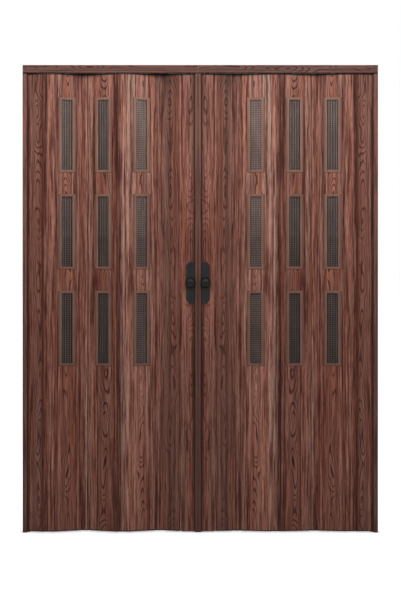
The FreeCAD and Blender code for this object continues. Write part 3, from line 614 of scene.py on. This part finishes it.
def make_panes(node, window, material):
    """Three reeded panes: half-round reeds up and down on the front and the back."""
    across = Vector((math.cos(window.turn), math.sin(window.turn)))
    through = Vector((-math.sin(window.turn), math.cos(window.turn)))
    steps = STEPS_PER_REED * round(PANE_WIDTH / REED_PITCH)
    bm = bmesh.new()
    for low, high in zip(window.heights[0::2], window.heights[1::2]):
        surfaces = []
        for face_side in (-1, 1):
            columns = []
            for step in range(steps + 1):
                place = -PANE_WIDTH / 2 + PANE_WIDTH * step / steps
                hollow = 1 - abs(math.cos(math.pi * place / REED_PITCH))
                depth = face_side * (PANE_THICKNESS / 2 - REED_DEPTH * hollow)
                spot = window.middle + across * place + through * depth
                columns.append([bm.verts.new((spot.x, spot.y, height)) for height in (low, high)])
            surfaces.append(columns)
            for first, second in zip(columns, columns[1:]):
                bm.faces.new((first[0], second[0], second[1], first[1])).smooth = True
        front, back = surfaces
        caps = [bm.faces.new((front[end][0], front[end][1], back[end][1], back[end][0])) for end in (0, -1)]
        for level in (0, 1):
            rim = [column[level] for column in front] + [column[level] for column in reversed(back)]
            caps.append(bm.faces.new(rim))
        for cap in caps:
            for edge in cap.edges:
                edge.smooth = False
    stand_in(f"{node}_reeded", node, bm, material)


def knob_profile(rim_radius, reach):
    """(radius, distance from the leaf's middle plane) of a knob, from its foot to near its tip."""
    profile = KNOB_NECK + [(rim_radius, height) for height in KNOB_RIM] + [(CROWN_RADIUS, CROWN_FOOT)]
    rise = reach - KNOB_FOOT - CROWN_FOOT
    for step in range(1, CROWN_STEPS):
        turn = math.pi / 2 * step / CROWN_STEPS
        profile.append((CROWN_RADIUS * math.cos(turn), CROWN_FOOT + rise * math.sin(turn)))
    return [(radius, KNOB_FOOT + height) for radius, height in profile]


def make_knobs(node, material):
    """Front and back knobs turned in one piece each: neck, rolled rim and domed crown."""
    low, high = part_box(node)
    x, z = (low.x + high.x) / 2, (low.z + high.z) / 2
    profile = knob_profile((high.x - low.x) / 2, high.y)
    turns = [math.tau * step / KNOB_STEPS_AROUND for step in range(KNOB_STEPS_AROUND)]
    bm = bmesh.new()
    for end in (-1, 1):
        rings = [[bm.verts.new((x + radius * math.cos(turn), end * depth, z + radius * math.sin(turn)))
                  for turn in turns] for radius, depth in profile]
        tip = bm.verts.new((x, end * high.y, z))
        for step in range(KNOB_STEPS_AROUND):
            following = (step + 1) % KNOB_STEPS_AROUND
            for first, second in zip(rings, rings[1:]):
                bm.faces.new((first[step], first[following], second[following], second[step])).smooth = True
            bm.faces.new((rings[-1][step], rings[-1][following], tip)).smooth = True
        bm.faces.new(rings[0])
    stand_in(f"{node}_turned", node, bm, material)


# ---------------------------------------------------------------- thin seals

MEETING_STRIP_WIDTH = 0.010
MEETING_STRIP_SHOULDER = 0.7    # place of the shoulders, in half widths
MEETING_STRIP_GAP = 0.00003
MEETING_STRIP_FOLD = 0.00006
SLOT_HALF_WIDTH = 0.0027
SLOT_END_GAP = 0.0018
SLOT_RISE = 0.0060
SHELL_GAP = 0.00002
FINE_WELD = 1e-6
FOOT_PILE_TIP = 0.0034          # height of the pile's tips above the floor
FOOT_PILE_LEAST = 0.0010
PILE_THICKNESS = 0.0010
PILE_INSET = 0.0002
PILE_CLEARANCE = 0.00012
TUFT_PITCH = 0.0040
TUFT_RISE = 0.0001
GASKET_INSET = 0.0004


def prism(bm, outline, lift):
    """Closed prism: the outline's points, and the same points moved by lift."""
    first = [bm.verts.new(point) for point in outline]
    second = [bm.verts.new(Vector(point) + lift) for point in outline]
    bm.faces.new(first)
    bm.faces.new(second[::-1])
    for index in range(len(outline)):
        following = (index + 1) % len(outline)
        bm.faces.new((first[index], first[following], second[following], second[index]))


def make_meeting_strip(side_name, sign, material):
    """Soft strip down the meeting face of a post. The left one is ridged and the right one hollow,
    so that no light passes between them.
    """
    post = f"lead_post_{side_name}"
    low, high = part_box(post)
    face = high.x if sign > 0 else low.x
    meeting_x = (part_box("lead_post_left")[1].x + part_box("lead_post_right")[0].x) / 2
    crown = meeting_x - sign * MEETING_STRIP_GAP
    fold = MEETING_STRIP_FOLD
    half = MEETING_STRIP_WIDTH / 2
    shoulder = half * MEETING_STRIP_SHOULDER
    outline = [(face, -half), (crown - fold, -shoulder), (crown + fold, 0.0), (crown - fold, shoulder),
               (face, half)]
    # past the latch hook's slot only a lip in front of it and a lip behind it go on
    lips = [[(face, end * half), (crown - fold, end * shoulder), (crown - fold / 2, end * SLOT_HALF_WIDTH),
             (face, end * SLOT_HALF_WIDTH)] for end in (-1, 1)]
    knob_low, knob_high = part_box("knobs_left")
    slot_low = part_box("latch_hook_left")[0].z - SLOT_END_GAP
    slot_high = (knob_low.z + knob_high.z) / 2 + SLOT_RISE
    stretches = [(low.z, slot_low, [outline]), (slot_low, slot_high, lips), (slot_high, high.z, [outline])]
    bm = bmesh.new()
    for bottom, top, shapes in stretches:
        start = bottom + SHELL_GAP
        for shape in shapes:
            prism(bm, [(x, y, start) for x, y in shape], Vector((0.0, 0.0, top - start)))
    new_piece(f"meeting_strip_{side_name}", bm, material, post)


def make_foot_pile(node, material):
    """Dark pile under the foot of a profile, with the profile's own section; its dark is partly painted
    shade of the gap.
    """
    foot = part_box(node)[0].z
    bm = bmesh.new()
    bm.from_mesh(NODES[node].data)
    others = [face for face in bm.faces if any(vert.co.z > foot + WELD_DISTANCE for vert in face.verts)]
    bmesh.ops.delete(bm, geom=others, context="FACES")
    bmesh.ops.remove_doubles(bm, verts=bm.verts, dist=FINE_WELD)
    for vert in bm.verts:
        vert.co.z -= SHELL_GAP
    section = list(bm.faces)
    rims = [edge for edge in bm.edges if len(edge.link_faces) == 1]
    drop = Vector((0.0, 0.0, foot - SHELL_GAP - FOOT_PILE_TIP))
    lowered = {vert: bm.verts.new(vert.co - drop) for vert in list(bm.verts)}
    for face in section:
        bm.faces.new([lowered[vert] for vert in reversed(face.verts)])
    for edge in rims:
        first, second = edge.verts
        bm.faces.new((first, second, lowered[second], lowered[first]))
    new_piece(f"foot_pile_{node}", bm, material, node)


def make_track_pile(side_name, material):
    """Dust piles under the track's front and rear edges, from the jamb to the middle joint: rows of
    short tufts that stop above the slats. Their dark is partly painted shade under the track.
    """
    track = f"track_{side_name}"
    low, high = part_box(track)
    jamb_low, jamb_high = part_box(f"jamb_{side_name}")
    left, right = (jamb_high.x, high.x) if side_name == "left" else (low.x, jamb_low.x)
    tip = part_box(f"slat_1_{side_name}")[1].z + PILE_CLEARANCE
    shoulder = tip + TUFT_RISE
    count = int((right - left) / TUFT_PITCH)
    pitch = (right - left) / count
    bm = bmesh.new()
    for face in (low.y + PILE_INSET, high.y - PILE_INSET - PILE_THICKNESS):
        for index in range(count):
            start = left + index * pitch
            end = start + pitch
            outline = [(start, face, low.z), (end, face, low.z), (end, face, shoulder),
                       ((start + end) / 2, face, tip), (start, face, shoulder)]
            prism(bm, outline, Vector((0.0, PILE_THICKNESS, 0.0)))
    new_piece(f"track_pile_{side_name}", bm, material, track)


def make_track_gasket(material):
    """Thin tan gasket between the two lengths of track."""
    low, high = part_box("track_left")
    gap = Vector((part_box("track_right")[0].x - high.x, 0.0, 0.0))
    front, rear = low.y + GASKET_INSET, high.y - GASKET_INSET
    bottom, top = low.z + GASKET_INSET, high.z - GASKET_INSET
    corners = ((front, bottom), (rear, bottom), (rear, top), (front, top))
    bm = bmesh.new()
    prism(bm, [(high.x, y, z) for y, z in corners], gap)
    new_piece("track_gasket", bm, material, "track_left")


# ---------------------------------------------------------------- foil on every profile

PRINTS = {
    "jamb": Print(
        [(0.0, 0.76), (0.25, 0.84), (0.42, 1.0), (0.57, 0.96), (0.63, 0.50), (0.72, 0.50), (0.77, 0.98),
         (1.0, 0.90)],
        figure=0.1, plain=0.50, level=1.18, lower=0.75),
    "jamb_half_slat": Print(
        [(0.0, 1.04), (0.21, 1.12), (0.29, 0.92), (0.38, 1.05), (0.68, 1.02), (0.82, 0.90), (0.93, 0.52),
         (1.0, 0.80)],
        figure_at=0.004, plain=0.22),
    "strip_1": Print(
        [(0.02, 0.55), (0.10, 0.92), (0.32, 0.86), (0.48, 0.94), (0.66, 1.02), (0.86, 1.18), (1.0, 1.18)],
        figure=0.0, level=1.13, lower=0.79),
    "slat_1": Print(
        [(0.0, 1.16), (0.05, 1.14), (0.12, 0.94), (0.18, 0.90), (0.26, 1.18), (0.34, 0.98), (0.48, 1.04),
         (0.72, 1.05), (0.79, 0.82), (0.85, 1.08), (0.92, 0.88), (0.97, 1.15), (1.0, 1.05)],
        level=1.04, lower=0.93),
    "strip_2": Print(
        [(0.17, 1.06), (0.40, 1.0), (0.50, 1.14), (0.60, 1.26), (0.66, 0.80), (0.72, 0.86), (0.80, 1.10)],
        figure=0.0, lower=0.91),
    "slat_2": Print(
        [(0.0, 1.08), (0.11, 1.12), (0.17, 0.92), (0.25, 1.06), (0.33, 0.96), (0.62, 0.98), (0.71, 1.10),
         (0.80, 0.80), (0.86, 0.78), (0.91, 0.94), (0.95, 0.52), (1.0, 0.85)],
        level=1.13, lower=0.84),
    "strip_3": Print(
        [(0.0, 0.55), (0.08, 0.98), (0.20, 1.02), (0.29, 0.94), (0.46, 1.10), (0.58, 1.30), (0.70, 1.10),
         (0.85, 1.34), (1.0, 1.30)],
        figure=0.0, level=0.94, lower=0.96),
    "slat_3": Print(
        [(0.0, 1.32), (0.08, 1.28), (0.165, 1.02), (0.24, 1.20), (0.50, 1.18), (0.61, 1.05), (0.68, 1.22),
         (0.75, 1.04), (0.90, 1.14), (1.0, 1.0)]),
    "strip_4": Print(
        [(0.17, 0.98), (0.28, 0.94), (0.38, 1.08), (0.60, 0.98), (0.83, 1.02)],
        figure=0.0, plain=0.15, shaded_head=True),
    "lead_half_slat": Print(
        [(0.0, 1.0), (0.25, 1.0), (0.36, 0.80), (0.43, 0.72), (0.52, 0.98), (0.62, 0.94), (0.72, 0.82),
         (0.81, 1.0), (0.90, 0.94), (1.0, 0.98)],
        figure_at=0.002, plain=0.32, shaded_head=True),
    "lead_stile": Print(
        [(0.0, 0.98), (0.04, 0.72), (0.08, 0.80), (0.14, 1.06), (0.40, 1.03), (0.66, 1.03), (0.80, 0.95),
         (0.90, 0.84), (0.95, 0.60), (0.985, 0.42), (1.0, 0.38)],
        figure=0.6, figure_at=0.014),
    "lead_post": Print(
        [(0.0, 0.42), (0.10, 0.50), (0.20, 0.94), (0.60, 1.0), (1.0, 0.97)],
        figure=0.1, plain=0.75, lower=0.68, painted_head_shadow=False),
}
# the track lies on its side: its tones run from its lower edge to its upper one; the light line
# near its lower edge is a painted highlight on the bevel
TRACK_PRINT = Print(
    [(0.0, 0.88), (0.07, 1.22), (0.16, 1.14), (0.24, 0.95), (0.60, 1.0), (0.84, 0.92), (0.92, 1.12),
     (1.0, 1.12)],
    figure=1.2, plain=0.40, level=0.64)
FIRST_SEED = 5.0
SEED_STEP = 9.37
TRACK_SEED = 71.0
TRACK_SEAM_INSET = 0.0140       # from the track's end at the wall to the painted seam at the jamb

# the piles' dark brown is their own and partly painted shade: under the track's edges and in the gap under
# the feet
FOOT_PILE_SHADE_BROWN = (34, 26, 24)
TRACK_PILE_SHADE_BROWN = (30, 20, 18)
STRIP_BROWN = (104, 76, 66)
GASKET_TAN = (176, 128, 104)


def dress_upright(node, look, sign, seed):
    """Foil on an upright profile, and the pile under a foot that stops above the floor."""
    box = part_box(node)
    foot, head = box[0].z, box[1].z
    ends = [(foot, 1.0, FOOT_PAINTED_SHADE)]
    if look.painted_head_shadow:
        ends.append((head, -1.0, HEAD_PAINTED_SHADOW))
    if look.shaded_head:
        ends.append((head, -1.0, HEAD_SHADE))
    if foot > FOOT_PILE_TIP + FOOT_PILE_LEAST:
        make_foot_pile(node, soft_plastic(f"foot_pile_{node}", FOOT_PILE_SHADE_BROWN))
    assign(node, foil(f"foil_{node}", look, box, sign, seed, ends))


def dress_track(side_name, sign):
    """Foil on one length of track, with its pale end at the middle joint."""
    node = f"track_{side_name}"
    low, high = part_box(node)
    butt_end, wall_end = (high.x, low.x) if side_name == "left" else (low.x, high.x)
    ends = [(butt_end, -sign, BUTT_EDGE)]
    seam = wall_end + sign * TRACK_SEAM_INSET
    assign(node, foil(f"foil_{node}", TRACK_PRINT, (low, high), 1.0, TRACK_SEED, ends, seam, upright=False))


for side_name, sign in SIDES.items():
    for order, (kind, look) in enumerate(PRINTS.items()):
        dress_upright(f"{kind}_{side_name}", look, sign, FIRST_SEED + SEED_STEP * order)
    dress_track(side_name, sign)


# ---------------------------------------------------------------- windows, handles, gliders and seals

# for each full slat: brightness of its panes, and how far their reeds stand out; the third slat's
# brighter panes are a painted reflection
PANE_LOOKS = {1: (1.03, 1.0), 2: (0.97, 0.9), 3: (1.24, 0.3)}
TRIM_SEED_STEP = 3.3
PANE_SEED_STEP = 2.1
PLATE_SEED = 2.0
KNOB_SEED = 4.0
KNOB_LEVEL = 0.7                # brightness of the knobs against the plates


def dress_slat(order, side_name, level, reeds):
    """Trims, panes, hanger and glider of one full slat."""
    panes = f"window_panes_{order}_{side_name}"
    trims = f"window_trims_{order}_{side_name}"
    window = find_window(panes)
    softened(trims, TRIM_EDGE, trim_plastic(f"trim_{order}_{side_name}", TRIM_SEED_STEP * order, window))
    make_panes(panes, window, pane_plastic(f"smoked_{panes}", PANE_SEED_STEP * order, window, level, reeds))
    for kind in ("hanger", "glider"):
        assign(f"{kind}_{order}_{side_name}", nylon(f"{kind}_nylon_{order}_{side_name}"))


for side_name in SIDES:
    for order, (level, reeds) in PANE_LOOKS.items():
        dress_slat(order, side_name, level, reeds)
    assign(f"stile_gliders_{side_name}", nylon(f"stile_glider_nylon_{side_name}"))
    softened(f"handle_plates_{side_name}", PLATE_EDGE, black_metal(f"plate_black_{side_name}", PLATE_SEED))
    make_knobs(f"knobs_{side_name}", black_metal(f"knob_black_{side_name}", KNOB_SEED, KNOB_LEVEL))
    assign(f"knob_spindle_{side_name}", steel(f"spindle_steel_{side_name}"))
assign("latch_hook_left", steel("hook_steel"))
assign("latch_keep_right", steel("keep_steel"))

for side_name, sign in SIDES.items():
    make_meeting_strip(side_name, sign, soft_plastic(f"meeting_strip_{side_name}", STRIP_BROWN))
    make_track_pile(side_name, soft_plastic(f"track_pile_{side_name}", TRACK_PILE_SHADE_BROWN))
make_track_gasket(soft_plastic("gasket_tan", GASKET_TAN))


# ---------------------------------------------------------------- floor, light and camera

FLOOR_RADIUS = 40.0
FLOOR_STEPS_AROUND = 64
FLOOR_GREY = (0.62, 0.62, 0.62, 1.0)    # for the light that the floor sends back
SHADOW_GLOW = 0.80          # of the floor near the object, where its shadow has to show
SHADOW_RADIUS = 0.7
SHADOW_FADE = 0.7
CONTACT_SAMPLES = 12
CONTACT_DISTANCE = 0.032    # within it, what stands on the floor or just above it darkens the floor
CONTACT_POWER = 1.2
WORLD_LEVEL = 0.08          # light of the world on the object

Lamp = namedtuple("Lamp", "name location target size power")
LAMPS = [
    Lamp("key", (0.0, -1.80, 2.72), (0.0, 0.0, 1.74), (3.4, 0.9), 48),
    Lamp("back_fill", (0.0, 3.0, 2.8), (0.0, 0.0, 1.2), (3.0, 1.6), 38),
    Lamp("side_fill_left", (-3.0, 0.9, 1.9), (-0.8, 0.0, 1.0), (0.9, 1.8), 22),
    Lamp("side_fill_right", (3.0, 0.9, 1.9), (0.8, 0.0, 1.0), (0.9, 1.8), 22),
]

CAMERA_DISTANCE = 8.0
CAMERA_HEIGHT = 1.25
SENSOR_WIDTH = 36.0
PICTURE_CENTRE = Vector((0.0009, 0.0, 1.0168))
PICTURE_HEIGHT = 2.643      # metres at the door that fill the picture's height


def floor_white():
    """White to the camera, mirrors and glass, with a contact shade, and plain grey to the rest."""
    m = Surface("floor_white")
    distance = m.math("SQRT", m.add(m.times(m.x, m.x), m.times(m.y, m.y)))
    glow = m.between(SHADOW_GLOW, 1.0, m.rise(distance, SHADOW_RADIUS, SHADOW_FADE))
    nearby = m.tree.nodes.new("ShaderNodeAmbientOcclusion")
    nearby.samples = CONTACT_SAMPLES
    nearby.inputs["Distance"].default_value = CONTACT_DISTANCE
    contact = m.math("POWER", nearby.outputs["AO"], CONTACT_POWER)
    m.set(Base_Color=FLOOR_GREY, Roughness=0.9, Specular_IOR_Level=0.1, Emission_Color=WHITE,
          Emission_Strength=m.times(m.seen_plainly(), glow, contact))
    return m.material


def make_floor():
    """Wide round floor; the white world stands behind it on every side."""
    turns = [math.tau * step / FLOOR_STEPS_AROUND for step in range(FLOOR_STEPS_AROUND)]
    rim = [(FLOOR_RADIUS * math.cos(turn), FLOOR_RADIUS * math.sin(turn), 0.0) for turn in turns]
    mesh = bpy.data.meshes.new("floor")
    mesh.from_pydata(rim, [], [tuple(range(FLOOR_STEPS_AROUND))])
    mesh.materials.append(floor_white())
    floor = bpy.data.objects.new("floor", mesh)
    bpy.context.scene.collection.objects.link(floor)


def make_world():
    """White to the camera, mirrors and glass, and a faint even light to the rest."""
    world = bpy.data.worlds.new("studio")
    bpy.context.scene.world = world
    world.use_nodes = True
    graph = Graph(world.node_tree)
    background = graph.tree.nodes["Background"]
    graph.put(background.inputs["Color"], WHITE)
    graph.put(background.inputs["Strength"], graph.between(WORLD_LEVEL, 1.0, graph.seen_plainly()))


def make_lamp(lamp):
    data = bpy.data.lights.new(lamp.name, "AREA")
    data.shape = "RECTANGLE"
    data.size, data.size_y = lamp.size
    data.energy = lamp.power
    light = bpy.data.objects.new(lamp.name, data)
    light.location = lamp.location
    direction = Vector(lamp.target) - Vector(lamp.location)
    light.rotation_euler = direction.to_track_quat("-Z", "Y").to_euler()
    bpy.context.scene.collection.objects.link(light)


def make_camera():
    """Long lens from well back; the shift keeps the door's upright edges parallel."""
    data = bpy.data.cameras.new("camera")
    data.sensor_width = SENSOR_WIDTH
    data.lens = SENSOR_WIDTH * CAMERA_DISTANCE / PICTURE_HEIGHT
    data.shift_y = (PICTURE_CENTRE.z - CAMERA_HEIGHT) / PICTURE_HEIGHT
    camera = bpy.data.objects.new("camera", data)
    camera.location = (PICTURE_CENTRE.x, -CAMERA_DISTANCE, CAMERA_HEIGHT)
    camera.rotation_euler = (math.radians(90), 0.0, 0.0)
    bpy.context.scene.collection.objects.link(camera)
    bpy.context.scene.camera = camera


make_floor()
make_world()
for lamp in LAMPS:
    make_lamp(lamp)
make_camera()
bpy.context.scene.view_settings.view_transform = "Standard"
